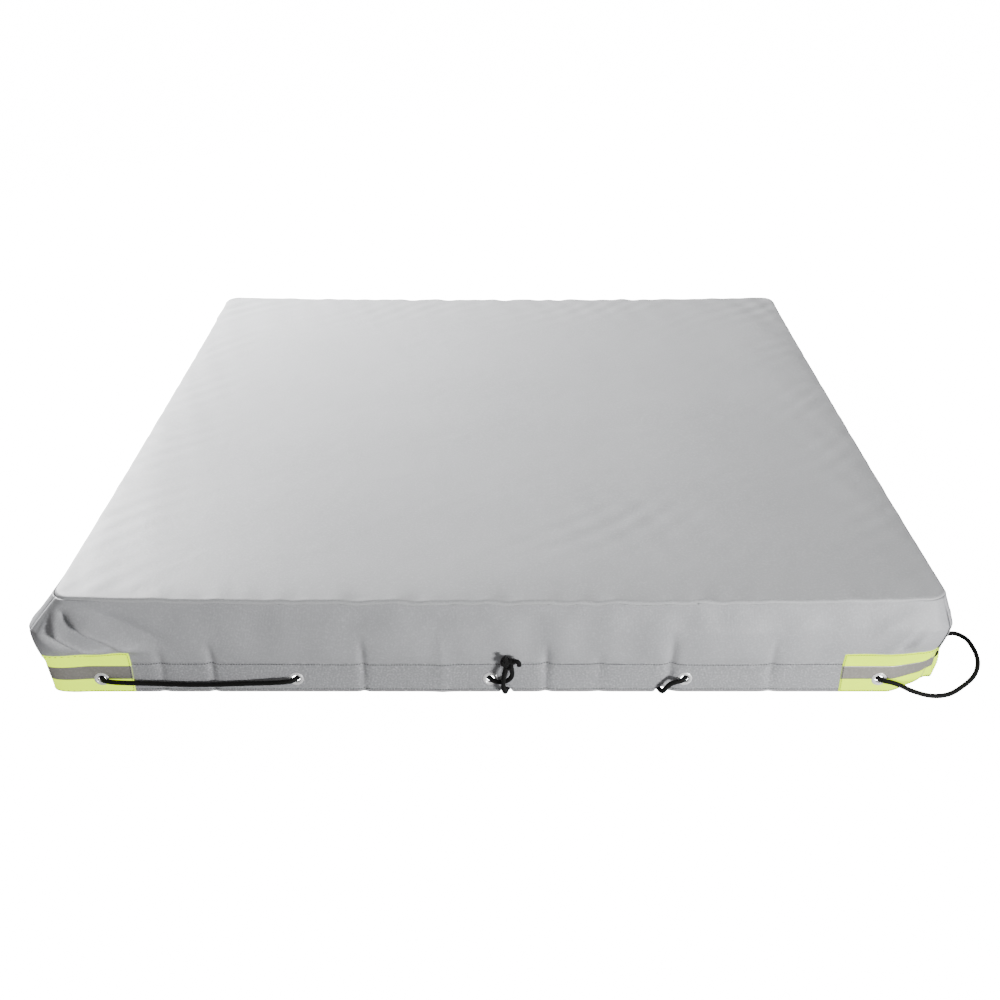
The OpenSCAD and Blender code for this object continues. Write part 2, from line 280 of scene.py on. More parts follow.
def tube(line, radius, sides):
    """Rings of points about a line, each ring's first radius turned as little as can be from the
    last one's, with end caps. Gives the points, the faces and (around, along) in metres."""
    tangent = np.gradient(line, axis=0)
    tangent /= np.linalg.norm(tangent, axis=1)[:, None]
    normal = np.empty_like(line)
    n = np.array([0.0, 0.0, 1.0]) if abs(tangent[0][2]) < 0.8 else np.array([1.0, 0.0, 0.0])
    for i, t in enumerate(tangent):
        n = n - n.dot(t) * t
        n /= np.linalg.norm(n)
        normal[i] = n
    other = np.cross(tangent, normal)
    a = np.arange(sides) * 2 * np.pi / sides
    radius = np.broadcast_to(radius, len(line))[:, None, None]
    spokes = np.cos(a)[None, :, None] * normal[:, None] + np.sin(a)[None, :, None] * other[:, None]
    points = line[:, None] + radius * spokes
    run = np.concatenate([[0], np.cumsum(np.linalg.norm(np.diff(line, axis=0), axis=1))])
    uv = np.stack(np.broadcast_arrays((a * radius.mean())[None, :], run[:, None]), -1)
    faces = grid_faces(len(line), sides, closed=True).tolist()
    last = (len(line) - 1) * sides
    faces += [list(range(sides - 1, -1, -1)), list(range(last, last + sides))]
    return points.reshape(-1, 3), faces, uv.reshape(-1, 2)


def node(tree, kind, links=(), **settings):
    """Adds a shader node. Settings named after an input set it, others set the node itself, and
    links are (output, input name or number) pairs."""
    new = tree.nodes.new(kind)
    for name, value in settings.items():
        if hasattr(new, name):
            setattr(new, name, value)
        else:
            new.inputs[name.replace("_", " ")].default_value = value
    for output, name in links:
        tree.links.new(output, new.inputs[name])
    return new


# Black braided polyester: dull, with a fine raised lay that glints along the strands. The braid
# is drawn coarser than real, 2.4 mm a strand, so that it shows.
cord_material, shader, tree = new_material("braided_polyester_sheath")
shader.inputs["Base Color"].default_value = linear("060606")
shader.inputs["Roughness"].default_value = 0.75
shader.inputs["Specular IOR Level"].default_value = 0.25
shader.inputs["Sheen Weight"].default_value = 0.05
shader.inputs["Sheen Roughness"].default_value = 0.5
STRAND = 0.0024
STRAND_LEAN = 0.9
cloth_uv = node(tree, "ShaderNodeUVMap", uv_map="cloth")
waves = []
for lean in (STRAND_LEAN, -STRAND_LEAN):
    turned = node(tree, "ShaderNodeMapping", [(cloth_uv.outputs[0], "Vector")], Rotation=(0, 0, lean))
    waves.append(node(tree, "ShaderNodeTexWave", [(turned.outputs[0], "Vector")], wave_type="BANDS",
                      bands_direction="X", Scale=2 * math.pi / (20 * STRAND)))
crossed = node(tree, "ShaderNodeMath", [(waves[0].outputs["Fac"], 0), (waves[1].outputs["Fac"], 1)],
               operation="MAXIMUM")
bump = node(tree, "ShaderNodeBump", [(crossed.outputs[0], "Height")], Strength=0.5, Distance=0.0006)
tree.links.new(bump.outputs[0], shader.inputs["Normal"])

CORD_STEP = 0.005
CORD_SIDES = 14
cord_line, cord_length = smooth_line(route, CORD_STEP)
points, faces, uv = tube(cord_line, CORD_D / 2, CORD_SIDES)
lacing = mesh_piece("lacing_cord_braid", points, faces, cord_material, uv)
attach(lacing, "root")
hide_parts("lacing_cord")

# ---- The knot ----
# Both ends of the cord, tied together in an overhand knot, pulled down hard, with two short tails
# cut square. Its line is a trefoil: one turn's sine and cosine with twice as much of two turns',
# and three turns' sine for its depth.
KNOT = np.array([0.017, -0.919, 0.088])
KNOT_STRAND = 0.0098
KNOT_SIDES = 12
KNOT_RINGS = 90
KNOT_SPREAD = np.array([0.0105, 0.0080, 0.0095]) / 2.4
KNOT_DEPTH = 0.9
turn = np.linspace(0, 2 * np.pi, KNOT_RINGS)
trefoil = np.stack([np.sin(turn) + 2 * np.sin(2 * turn), KNOT_DEPTH * np.sin(3 * turn),
                    np.cos(turn) - 2 * np.cos(2 * turn)], -1)
knot_points, knot_faces, knot_uv = tube(KNOT + trefoil * KNOT_SPREAD, KNOT_STRAND / 2, KNOT_SIDES)
TAIL_STEP = 0.002
offset = len(knot_points)
for tail in (
    [(0.002, 0.002, 0), (0.008, -0.003, 0.006), (0.015, -0.006, 0.009), (0.021, -0.007, 0.006),
     (0.022, -0.007, -0.001)],
    [(-0.002, -0.002, 0), (-0.004, -0.005, 0.008), (-0.007, -0.007, 0.015), (-0.010, -0.006, 0.019)],
):
    tail_line, _ = smooth_line(KNOT + np.array(tail), TAIL_STEP)
    more_points, more_faces, more_uv = tube(tail_line, KNOT_STRAND / 2, KNOT_SIDES)
    knot_faces += [[v + offset for v in face] for face in more_faces]
    knot_points = np.concatenate([knot_points, more_points])
    knot_uv = np.concatenate([knot_uv, more_uv])
    offset = len(knot_points)
knot = mesh_piece("cord_knot_tied", knot_points, knot_faces, cord_material, knot_uv)
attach(knot, "root")
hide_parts("cord_knot")

# ---- The cover's shape ----
# Every cloth piece lies on one surface: an upright wall round the plan, bellied out above the hem
# and pulled into folds below the corners of the top, and a flat top that sags a little at its edges.
half = [h - CORNER_R for h in side_half]
ARC = CORNER_R * math.pi / 4
HEM_H = float(hem_high[2])
SEAM_DEPTH = TOP_Z - float(top_low[2])
BELLY = 0.010
EDGE_R = 0.007


def smooth(low, high, x):
    """Rises from 0 at low to 1 at high, flat at both ends."""
    t = np.clip((x - low) / (high - low), 0, 1)
    return t * t * (3 - 2 * t)


def outline(side, q):
    """Plan place and outward normal at arc length q from a side's middle: straight, then the circle
    of the corner."""
    turn = np.maximum(np.abs(q) - half[side], 0) / CORNER_R * np.sign(q)
    straight = np.clip(q, -half[side], half[side])
    normal = np.stack([np.sin(turn), -np.cos(turn)], -1)
    place = np.stack([straight, np.full_like(straight, CORNER_R - side_off[side])], -1) + CORNER_R * normal
    c, s = [(1, 0), (0, 1), (-1, 0), (0, -1)][side]
    turned = np.array([[c, s], [-s, c]])
    return place @ turned, normal @ turned


# Folds below each corner of the top: direction down from the edge in degrees, width in degrees,
# height in metres, and how far along they start and end. Corner 0 is the front left, and the
# second number of a key is 1 for the side that starts at the corner, -1 for the one that ends there.
FOLDS = {
    (0, 1): [(56, 5, 0.026, 0.02, 0.20), (37, 6, 0.026, 0.04, 0.24), (74, 7, 0.008, 0.02, 0.17),
             (46, 4, -0.018, 0.02, 0.20), (66, 4, -0.010, 0.03, 0.16), (20, 5, -0.006, 0.05, 0.24)],
    (0, -1): [(60, 8, 0.008, 0.04, 0.18), (40, 6, 0.006, 0.05, 0.22), (50, 4, -0.006, 0.04, 0.18)],
    (1, -1): [(64, 7, 0.009, 0.06, 0.18), (48, 6, 0.007, 0.07, 0.20), (56, 3.5, -0.010, 0.09, 0.18),
              (30, 8, 0.004, 0.08, 0.30)],
    (1, 1): [(55, 8, 0.009, 0.04, 0.20), (35, 7, 0.006, 0.05, 0.24), (45, 4, -0.008, 0.04, 0.18)],
    (2, -1): [(58, 8, 0.010, 0.04, 0.20), (38, 6, 0.008, 0.05, 0.24), (48, 4, -0.008, 0.04, 0.18)],
    (2, 1): [(62, 8, 0.008, 0.04, 0.19), (42, 7, 0.007, 0.05, 0.22), (52, 4, -0.007, 0.04, 0.17)],
    (3, -1): [(50, 7, 0.010, 0.04, 0.20), (33, 6, 0.007, 0.05, 0.25), (66, 5, 0.006, 0.03, 0.17),
              (42, 4, -0.008, 0.04, 0.19)],
    (3, 1): [(60, 8, 0.009, 0.04, 0.19), (40, 6, 0.006, 0.05, 0.23), (50, 4, -0.007, 0.04, 0.18)],
}
# A fold turns down by so many degrees a metre past FOLD_STRAIGHT, and its ridge is a little sharper
# than a bell curve, whose power is 2. It rises over FOLD_RISE and dies out about its end, and it
# starts above the hem between two heights.
FOLD_TURN = 49
FOLD_STRAIGHT = 0.1
FOLD_POWER = 1.7
FOLD_RISE = 0.06
FOLD_PAST_END = 0.02
FOLD_FOOT = (0.096, 0.130)
# How far each corner stands out along X and Y at the height where it is widest, and at the ground
CORNER_OUT = [(-0.050, -0.022), (0.014, -0.012), (0.030, 0.030), (-0.034, 0.030)]
WIDEST_Z = 0.168
HEM_OUT = [(-0.040, -0.004), (0.003, 0.036), (0.016, 0.016), (-0.018, 0.016)]
# In the hem a corner's flare ends short of the first eyelets, above it it fades over CORNER_SPREAD,
# and it goes from the one to the other between two heights
EYELET_CLEAR = 0.018
CORNER_SPREAD = 0.085
FLARE_BLEND = (0.075, 0.165)
# The corner that the cord passes outside, so its hem stays tight up to the tape's top
CORD_OUTSIDE = 3
TIGHT = (EYELET_Z + 0.012, 0.11)
# Nothing moves inside the first of these distances from an eyelet, and all of it past the second
EYELET_STILL = (0.014, 0.032)

# Soft upright dents in each hem and skirt: place along the side, width, depth and top height. At
# the ground a dent has DENT_LOW of its depth, and it fades over the last DENT_FADE below its top.
DENT_POWER = 1.5
DENT_FADE = 0.07
DENT_LOW = 0.55
DENTS = {
    0: [(-0.595, 0.008, 0.0065, 0.15), (-0.283, 0.007, 0.0068, 0.16), (0.095, 0.009, 0.0076, 0.14),
        (0.352, 0.011, 0.0099, 0.17), (-0.120, 0.017, -0.0038, 0.18), (0.560, 0.010, 0.0049, 0.16),
        (-0.700, 0.010, 0.0049, 0.14), (0.205, 0.014, 0.0038, 0.13)],
    1: [(-0.60, 0.009, 0.0068, 0.16), (-0.22, 0.010, 0.0057, 0.15), (0.11, 0.008, 0.0076, 0.17),
        (0.49, 0.010, 0.0065, 0.15)],
    2: [(-0.63, 0.010, 0.0068, 0.16), (-0.27, 0.008, 0.0068, 0.15), (0.14, 0.010, 0.0065, 0.17),
        (0.55, 0.009, 0.0072, 0.15)],
    3: [(-0.58, 0.009, 0.0065, 0.15), (-0.19, 0.010, 0.0068, 0.16), (0.22, 0.009, 0.0068, 0.15),
        (0.60, 0.010, 0.0068, 0.16)],
}
# Where slack cloth billows out: place along the side, width, how far at the ground and how much more
# above the hem, and the height where it ends
BILLOW_RISE = (0.045, 0.10)
BILLOW_FADE = 0.055
BILLOWS = {
    0: [(-0.25, 0.22, 0.0, 0.006, 0.21), (0.45, 0.20, 0.0, 0.007, 0.21)],
    1: [(-0.790, 0.055, 0.045, -0.008, 0.150), (0.2, 0.25, 0.0, 0.010, 0.21)],
    2: [(-0.3, 0.24, 0.0, 0.008, 0.21), (0.5, 0.2, 0.0, 0.009, 0.21)],
    3: [(0.1, 0.26, 0.0, 0.010, 0.21), (-0.62, 0.16, 0.0, 0.008, 0.21)],
}
# The front hem is lifted where the cord passes under it, and the right hem rides up over the
# cord's loop: side, place along it, how far, width, how square the hump is, and the heights it
# fades between
LIFTS = [
    (0, 0.334, 0.0125, 0.0105, 4, 0.0, HEM_H),
    (0, 0.0135, 0.0125, 0.0105, 4, 0.0, HEM_H),
    (1, -0.765, 0.038, 0.042, 2, 0.09, 0.232),
]
# Faint ripples of the skirts: half waves a metre, phase and lean, drawn at random
RIPPLE_HEIGHT = 0.00055
ripple_draw = np.random.default_rng(7)
ripple_waves = [(ripple_draw.uniform(6, 30), ripple_draw.uniform(0, 6.3), ripple_draw.uniform(-0.6, 0.6))
                for _ in range(9)]


def skirt_offset(z):
    """The plain wall's stand-off: none on the hem, then a belly of half a wave up to the top seam."""
    return BELLY * np.sin(np.pi * np.clip((z - HEM_H) / (TOP_Z - SEAM_DEPTH - HEM_H), 0, 1))


# How far the top sags at the front and back edges and at the side edges, and how deep its frills go
SAG_FRONT = 0.011
SAG_SIDE = 0.008
SAG_REACH = 0.045
FRILL_FRONT = 0.0016
FRILL_SIDE = 0.0007
FRILL_REACH = 0.018


def sag(x, y):
    """How far the top sags: most at the middle of each edge, none at the corners, fading inwards as
    an exponential, with frills along the edge that are a sum of three sines."""
    ex = np.clip(half_w - np.abs(x), 0, None)
    ey = np.clip(half_d - np.abs(y), 0, None)
    mid_x = 1 - np.clip(np.abs(x) / half_w, 0, 1) ** 3
    mid_y = 1 - np.clip(np.abs(y) / half_d, 0, 1) ** 3
    wavy = np.sin(41 * x + 1.2) + np.sin(67 * x + 17 * x * x) + 0.7 * np.sin(103 * x + 0.5)
    wavy_y = np.sin(37 * y + 0.4) + np.sin(59 * y + 11 * y * y + 2.0) + 0.7 * np.sin(97 * y + 1.5)
    return ((SAG_FRONT * mid_x * np.exp(-ey / SAG_REACH) + SAG_SIDE * mid_y * np.exp(-ex / SAG_REACH))
            + FRILL_FRONT * wavy * mid_x * np.exp(-ey / FRILL_REACH)
            + FRILL_SIDE * wavy_y * mid_y * np.exp(-ex / FRILL_REACH))


def drape(side, q, z):
    """How the cloth strays from the plain wall at arc length q and height z: an outward amount, a
    shift in plan near the corners, and a lift. Corners stand out most at WIDEST_Z; folds are ridges
    that fan out from the top corner; dents and billows run up from the hem; ripples are sines; and
    no fold, dent, billow or lift moves an eyelet."""
    total = half[side] + ARC
    out = np.zeros_like(q)
    shift = np.zeros(q.shape + (2,))
    for sign in (-1, 1):
        corner = (side + 1) % 4 if sign > 0 else side
        a = total - sign * q
        g = 1 if sign < 0 else -1
        drop = TOP_Z - z
        rise = np.clip((TOP_Z - z) / (TOP_Z - WIDEST_Z), 0, 1)
        low = np.clip(1 - z / WIDEST_Z, 0, 1)[..., None]
        clear = (INSET_LEFT if g > 0 else INSET_RIGHT) - (CORNER_R - ARC) - EYELET_CLEAR
        at_hem = np.clip(1 - (a / clear) ** 2, 0, 1) ** 2
        above = np.exp(-(a / CORNER_SPREAD) ** 2)
        w = smooth(*FLARE_BLEND, z)
        amount = rise * (w * above + (1 - w) * at_hem)
        if corner == CORD_OUTSIDE:
            amount *= smooth(*TIGHT, z)
        flare = (1 - low) * np.array(CORNER_OUT[corner]) + low * np.array(HEM_OUT[corner])
        shift += amount[..., None] * flare
        angle = np.degrees(np.arctan2(drop, a))
        reach = np.hypot(a, drop)
        for direction, width, height, start, end in FOLDS[(corner, g)]:
            bend = direction + FOLD_TURN * (reach - FOLD_STRAIGHT)
            ridge = np.exp(-np.abs((angle - bend) / width) ** FOLD_POWER)
            ridge *= smooth(start, start + FOLD_RISE, reach)
            ridge *= 1 - smooth(end - FOLD_RISE, end + FOLD_PAST_END, reach)
            out += height * ridge * smooth(*FOLD_FOOT, z)
    for place, width, depth, top in DENTS[side]:
        crease = np.exp(-np.abs((q - place) / width) ** DENT_POWER)
        deep = DENT_LOW + (1 - DENT_LOW) * smooth(0, HEM_H, z)
        out -= depth * crease * (1 - smooth(top - DENT_FADE, top, z)) * deep
    for place, width, at_ground, above, top in BILLOWS[side]:
        body = (at_ground + above * smooth(*BILLOW_RISE, z)) * (1 - smooth(top - BILLOW_FADE, top, z))
        out += body * np.exp(-((q - place) / width) ** 2)
    rippled = smooth(HEM_H - 0.01, HEM_H + 0.03, z) * (1 - smooth(TOP_Z - 0.05, TOP_Z - 0.01, z))
    for wave, phase, lean in ripple_waves:
        out += RIPPLE_HEIGHT * np.sin(2 * np.pi * (q * wave / 2 + lean * z * 3) + phase) * rippled
    lift = np.zeros_like(q)
    for where, place, height, width, square, low, high in LIFTS:
        if where == side:
            lift += height * np.exp(-np.abs((q - place) / width) ** square) * (1 - smooth(low, high, z))
    for k in range(EYELETS):
        near = np.hypot(q - eyelet_u(side, k), z - EYELET_Z)
        free = smooth(*EYELET_STILL, near)
        out *= free
        lift *= free
    return out, shift, lift


# The wall takes on the top's sag from SAG_FOOT to SAG_FULL below the top
SAG_FOOT = 0.09
SAG_FULL = 0.01


def cloth(side, q, z, stand=0.0):
    """World points of the cover's outer face at arc length q and height z, or stand outside it. Near
    the top it takes on the top's sag."""
    q, z = np.broadcast_arrays(np.asarray(q, float), np.asarray(z, float))
    place, normal = outline(side, q)
    out, shift, lift = drape(side, q, z)
    plan = place + normal * (skirt_offset(z) + out + stand)[..., None] + shift
    fall = sag(plan[..., 0], plan[..., 1]) * smooth(TOP_Z - SAG_FOOT, TOP_Z - SAG_FULL, z)
    return np.concatenate([plan, (z + lift - fall)[..., None]], -1)


def wall_piece(name, side_spans, heights, stand, thickness, material, hole=0.0, step=0.004, extra=0.0):
    """A cloth band: a grid over the spans of each side and the heights, stand outside the wall, with
    extra added at each height. Cells whose middle is within hole of an eyelet are left out, and the
    band is given its thickness inwards."""
    points, uvs, keep = [], [], []
    run = 0.0
    z = np.asarray(heights, float)[:, None]
    for side, start, end in side_spans:
        q = np.linspace(start, end, max(2, int(round((end - start) / step)) + 1))[None, :]
        if points:
            q = q[:, 1:]
        points.append(cloth(side, q, z, stand + np.reshape(extra, (-1, 1))))
        uvs.append(np.stack(np.broadcast_arrays(q - start + run, z), -1))
        run += end - start
        near = np.full(np.broadcast(q, z).shape, np.inf)
        for k in range(EYELETS):
            near = np.minimum(near, np.hypot(q - eyelet_u(side, k), z - EYELET_Z))
        keep.append(near)
    points, uvs, near = (np.concatenate(part, axis=1) for part in (points, uvs, keep))
    rows, columns = near.shape
    faces = grid_faces(rows, columns)
    if hole:
        faces = faces[near.ravel()[faces].mean(1) > hole]
    used, inverse = np.unique(faces, return_inverse=True)
    piece = mesh_piece(name, points.reshape(-1, 3)[used], inverse.reshape(faces.shape), material,
                       uvs.reshape(-1, 2)[used])
    solid = piece.modifiers.new("cloth_thickness", "SOLIDIFY")
    solid.thickness = thickness
    solid.offset = -1
    return piece


SIDES = ["front", "right", "back", "left"]
CORNERS = ["front_left", "front_right", "back_right", "back_left"]

# ---- Top panel and skirts ----
# Polyester oxford cloth, coated inside with polyurethane, a satin light grey with a faint square
# weave. The top's edge rolls over by a few millimetres into a plain seam with the skirts.
# The threads are 0.6 mm apart on the real cloth and drawn five times coarser so that they show.
# The tone varies over a hand's length, the wrinkles over half of one, and the grain over some 4 mm.
THREAD = 0.0030
PATCH = 1 / 5
WRINKLE = 1 / 9
GRAIN = 1 / 230
FLECK_FROM, FLECK_TO = 0.48, 0.72
WRINKLE_DEPTH = 0.004
THREAD_DEPTH = 0.0004


def woven(name, colour, shade, rough, weave_depth, mottle, speckle):
    """Coated plain weave: the product of two crossed sine bands as a fine bump over a soft wrinkled
    one of strength mottle, and a tone that drifts from shade to colour, flecked with speckle."""
    material, shader, tree = new_material(name)
    cloth_uv = node(tree, "ShaderNodeUVMap", uv_map="cloth")
    weave = [node(tree, "ShaderNodeTexWave", [(cloth_uv.outputs[0], "Vector")], wave_type="BANDS",
                  bands_direction=way, Scale=2 * math.pi / (20 * THREAD)) for way in "XY"]
    threads = node(tree, "ShaderNodeMath", [(weave[0].outputs["Fac"], 0), (weave[1].outputs["Fac"], 1)],
                   operation="MULTIPLY")
    place = node(tree, "ShaderNodeTexCoord")
    patches = node(tree, "ShaderNodeTexNoise", [(place.outputs["Object"], "Vector")], Scale=1 / PATCH,
                   Detail=5.0, Roughness=0.55)
    grain = node(tree, "ShaderNodeTexNoise", [(place.outputs["Object"], "Vector")], Scale=1 / GRAIN,
                 Detail=4.0)
    flecks = node(tree, "ShaderNodeMapRange", [(grain.outputs["Fac"], "Value")])
    flecks.inputs["From Min"].default_value = FLECK_FROM
    flecks.inputs["From Max"].default_value = FLECK_TO
    tone = node(tree, "ShaderNodeMix", [(patches.outputs["Fac"], "Factor")], data_type="RGBA")
    tone.inputs["A"].default_value = linear(shade)
    tone.inputs["B"].default_value = linear(colour)
    fine = node(tree, "ShaderNodeMix", [(flecks.outputs[0], "Factor"), (tone.outputs["Result"], "A")],
                data_type="RGBA")
    fine.inputs["B"].default_value = linear(speckle)
    tree.links.new(fine.outputs["Result"], shader.inputs["Base Color"])
    shader.inputs["Roughness"].default_value = rough
    shader.inputs["Specular IOR Level"].default_value = 0.4
    wrinkle = node(tree, "ShaderNodeTexNoise", [(place.outputs["Object"], "Vector")],
                   Scale=1 / WRINKLE, Detail=6.0, Roughness=0.6, Distortion=0.6)
    soft = node(tree, "ShaderNodeBump", [(wrinkle.outputs["Fac"], "Height")], Strength=mottle,
                Distance=WRINKLE_DEPTH)
    bump = node(tree, "ShaderNodeBump", [(threads.outputs[0], "Height"), (soft.outputs[0], "Normal")],
                Strength=weave_depth, Distance=THREAD_DEPTH)
    tree.links.new(bump.outputs[0], shader.inputs["Normal"])
    return material


top_cloth = woven("coated_oxford_top", "C6C7C9", "BBBCBE", 0.50, 0.25, 0.45, "CDCED0")
# The skirts' copy of the cloth is a shade darker than the top's. This is painted shade for the upright sides,
# which get less light than the top.
skirt_cloth = woven("coated_oxford_skirt_painted_shade", "BEBFC2", "A9AAAD", 0.48, 0.30, 0.60, "C2C3C6")
CLOTH_T = 0.001

# Top panel: a grid over the plan whose corner cells are bent into quarter circles; its last rows
# roll over the edge as a quarter turn and end upright, SEAM_LAP below the turn.
TOP_CELLS = 200
ROLL_ROWS = 6
SEAM_LAP = 0.003
flat_w, flat_d = half_w - EDGE_R, half_d - EDGE_R
flat_r = CORNER_R - EDGE_R


def bent_corner(u, v):
    """Takes the unit square to the unit quarter disc: rings about the origin become arcs."""
    ring = np.maximum(u, v)
    safe = np.maximum(ring, 1e-9)
    t = np.pi / 4 * np.where(u >= v, v / safe, 2 - u / safe)
    return ring * np.cos(t), ring * np.sin(t)


across = np.linspace(-1, 1, TOP_CELLS + 1)
gx, gy = np.meshgrid(across * flat_w, across * flat_d)
cx = np.clip((np.abs(gx) - flat_w + flat_r) / flat_r, 0, 1)
cy = np.clip((np.abs(gy) - flat_d + flat_r) / flat_r, 0, 1)
in_corner = (cx > 0) & (cy > 0)
bx, by = bent_corner(cx, cy)
top_x = np.where(in_corner, np.sign(gx) * (flat_w - flat_r + flat_r * bx), gx)
top_y = np.where(in_corner, np.sign(gy) * (flat_d - flat_r + flat_r * by), gy)

# Crinkles in the top: height, waves in radians a metre and direction in radians. They fade out
# over CRINKLE_RIM at the edges, and the long waves over WAVE_RIM.
CRINKLES = ((0.0004, 62, 0.3), (0.0004, 81, 1.4), (0.0003, 118, 2.3), (0.0003, 97, -0.8))
CRINKLE_RIM = 0.03
WAVE_RIM = 0.15


def top_height(x, y):
    """Height of the top: flat, less the edges' sag, plus a sum of four long faint sine waves of under
    a millimetre and a sum of crinkles, bent sine waves, which are strongest along the back, left
    and right edges and in a patch by the front, each a bell curve about its place."""
    waves = (0.0007 * np.sin(5.1 * x + 3.3 * y + 1.0) + 0.0006 * np.sin(-7.9 * x + 4.7 * y)
             + 0.0005 * np.sin(13.0 * x + 2.1 * y + 2.0) + 0.0004 * np.sin(3.0 * x - 17.0 * y))
    to_edge = np.minimum(half_w - np.abs(x), half_d - np.abs(y))
    inner = np.clip(to_edge / WAVE_RIM, 0, 1)
    inside_rim = np.clip(to_edge / CRINKLE_RIM, 0, 1)
    crinkle = sum(size * np.sin(f * (x * math.cos(way) + y * math.sin(way))
                                + 1.7 * np.sin(9 * x + 5 * y + way) + 3 * way)
                  for size, f, way in CRINKLES)
    creased = (np.exp(-((y - 0.80) / 0.13) ** 2) + 0.8 * np.exp(-((x + 0.84) / 0.10) ** 2)
               + 0.7 * np.exp(-((x - 0.84) / 0.08) ** 2)
               + 0.8 * np.exp(-((x - 0.25) / 0.22) ** 2 - ((y + 0.62) / 0.16) ** 2) + 0.12)
    return TOP_Z - sag(x, y) + waves * inner + crinkle * creased * inside_rim


across_count = TOP_CELLS + 1
index = np.arange(across_count**2).reshape(across_count, across_count)
rim = np.concatenate([index[0, :-1], index[:-1, -1], index[-1, :0:-1], index[:0:-1, 0]])
flat_points = np.stack([top_x, top_y, top_height(top_x, top_y)], -1).reshape(-1, 3)
rim_place = flat_points[rim]
arc_centre = np.array([flat_w, flat_d]) - flat_r
rim_normal = np.sign(rim_place[:, :2]) * np.maximum(np.abs(rim_place[:, :2]) - arc_centre, 0)
rim_normal /= np.linalg.norm(rim_normal, axis=1)[:, None]
turns = np.linspace(0, np.pi / 2, ROLL_ROWS + 1)[1:]
steps_out = np.append(EDGE_R * np.sin(turns), EDGE_R)
drops = np.append(EDGE_R * (1 - np.cos(turns)), EDGE_R + SEAM_LAP)
roll = [np.concatenate([rim_place[:, :2] + rim_normal * step_out, rim_place[:, 2:] - drop], 1)
        for step_out, drop in zip(steps_out, drops)]
all_points = np.concatenate([flat_points] + roll)
rolled = index.size + np.arange((ROLL_ROWS + 1) * len(rim)).reshape(ROLL_ROWS + 1, -1)
rings = np.concatenate([rim[None, :], rolled])
roll_faces = rings.ravel()[grid_faces(ROLL_ROWS + 2, len(rim), closed=True)][:, [0, 3, 2, 1]]
top_faces = np.concatenate([grid_faces(across_count, across_count), roll_faces])
top = mesh_piece("top_panel_cloth", all_points, top_faces, top_cloth, all_points[:, :2])
solid = top.modifiers.new("cloth_thickness", "SOLIDIFY")
solid.thickness = CLOTH_T
solid.offset = -1
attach(top, "root")
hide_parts("top_panel")

# Each skirt runs from behind the hem, SKIRT_TUCK below its top edge, up inside the top's rolled edge,
# and its first and last rows stand in a little so that they don't show through.
SKIRT_TUCK = 0.008
SKIRT_STEP = 0.004
SKIRT_OVER = 0.002
TUCK_LOW = 0.0012
TUCK_HIGH = 0.0015
# Its cut height goes so far past what lies between the hem and the top, for the hem and the seam
upper = TOP_Z - EDGE_R
skirt_heights = np.concatenate([[HEM_H - SKIRT_TUCK], np.arange(HEM_H, upper - SKIRT_STEP, SKIRT_STEP),
                                [upper, upper + SKIRT_OVER]])
tucked = np.where(skirt_heights < HEM_H, -TUCK_LOW, 0.0)
tucked = np.where(skirt_heights > upper, -TUCK_HIGH, tucked)
for side, name in enumerate(SIDES):
    total = half[side] + ARC
    skirt = wall_piece(name + "_skirt_cloth", [(side, -total, total)], skirt_heights, 0.0, CLOTH_T,
                       skirt_cloth, extra=tucked)
    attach(skirt, "root")
    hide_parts(name + "_skirt")

# ---- Hem bands ----
# A strip of the same cloth folded lengthways over the skirt's lower edge, so it is doubled and
# looks grainier and a shade darker. Two rows of stitching hold it.
hem_cloth = woven("doubled_oxford_hem", "AEAFB2", "999A9D", 0.55, 0.60, 1.00, "C6C7CA")
# The hole in the cloth lies under the eyelet's rim, and the hem's inner face is a hair short of the
# washers' seat
HOLE_R = 0.0115
HEM_THINNER = 0.0002
HEM_CLEAR = 0.0005
HEM_GRID = 25
FINE_STEP = 0.003
hem_heights = np.concatenate([[HEM_CLEAR], np.linspace(FINE_STEP, HEM_H, HEM_GRID)])
for side, name in enumerate(SIDES):
    total = half[side] + ARC
    hem = wall_piece(name + "_hem_cloth", [(side, -total, total)], hem_heights, 0.0, HEM_T - HEM_THINNER,
                     hem_cloth, hole=HOLE_R, step=FINE_STEP)
    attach(hem, "root")
    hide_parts(name + "_hem")

# ---- Corner tapes ----
# Fluorescent yellow-green knitted polyester tape, 100 mm wide, wrapped round each corner of the
# hem, with a silver strip of glass-bead cloth heat-bonded along its middle.
TAPE_T = 0.0008
STRIP_T = 0.0003
TAPE_GAP = 0.0001
TAPE_GRID = 33
STRIP_GRID = 12
tape_low, tape_high = (float(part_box("front_left_tape")[k][2]) for k in (0, 1))
strip_low, strip_high = (float(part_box("front_left_strip")[k][2]) for k in (0, 1))
TAPE_LEFT = 0.140
TAPE_RIGHT = 0.194
tape_cloth = woven("fluorescent_tape_painted_glow", "C8E600", "BEDC00", 0.80, 0.35, 0.15, "D2F000")
# The tape glows with light of its own, brighter than the lamps make it. This is partly the real fluorescent
# dye, which turns unseen light into yellow-green, and partly a painted glow that keeps the yellow bright and
# strong. It is dull otherwise.
tape_shader = tape_cloth.node_tree.nodes["Principled BSDF"]
tape_shader.inputs["Emission Color"].default_value = linear("D8FF00")
tape_shader.inputs["Emission Strength"].default_value = 1.6
tape_shader.inputs["Specular IOR Level"].default_value = 0.1
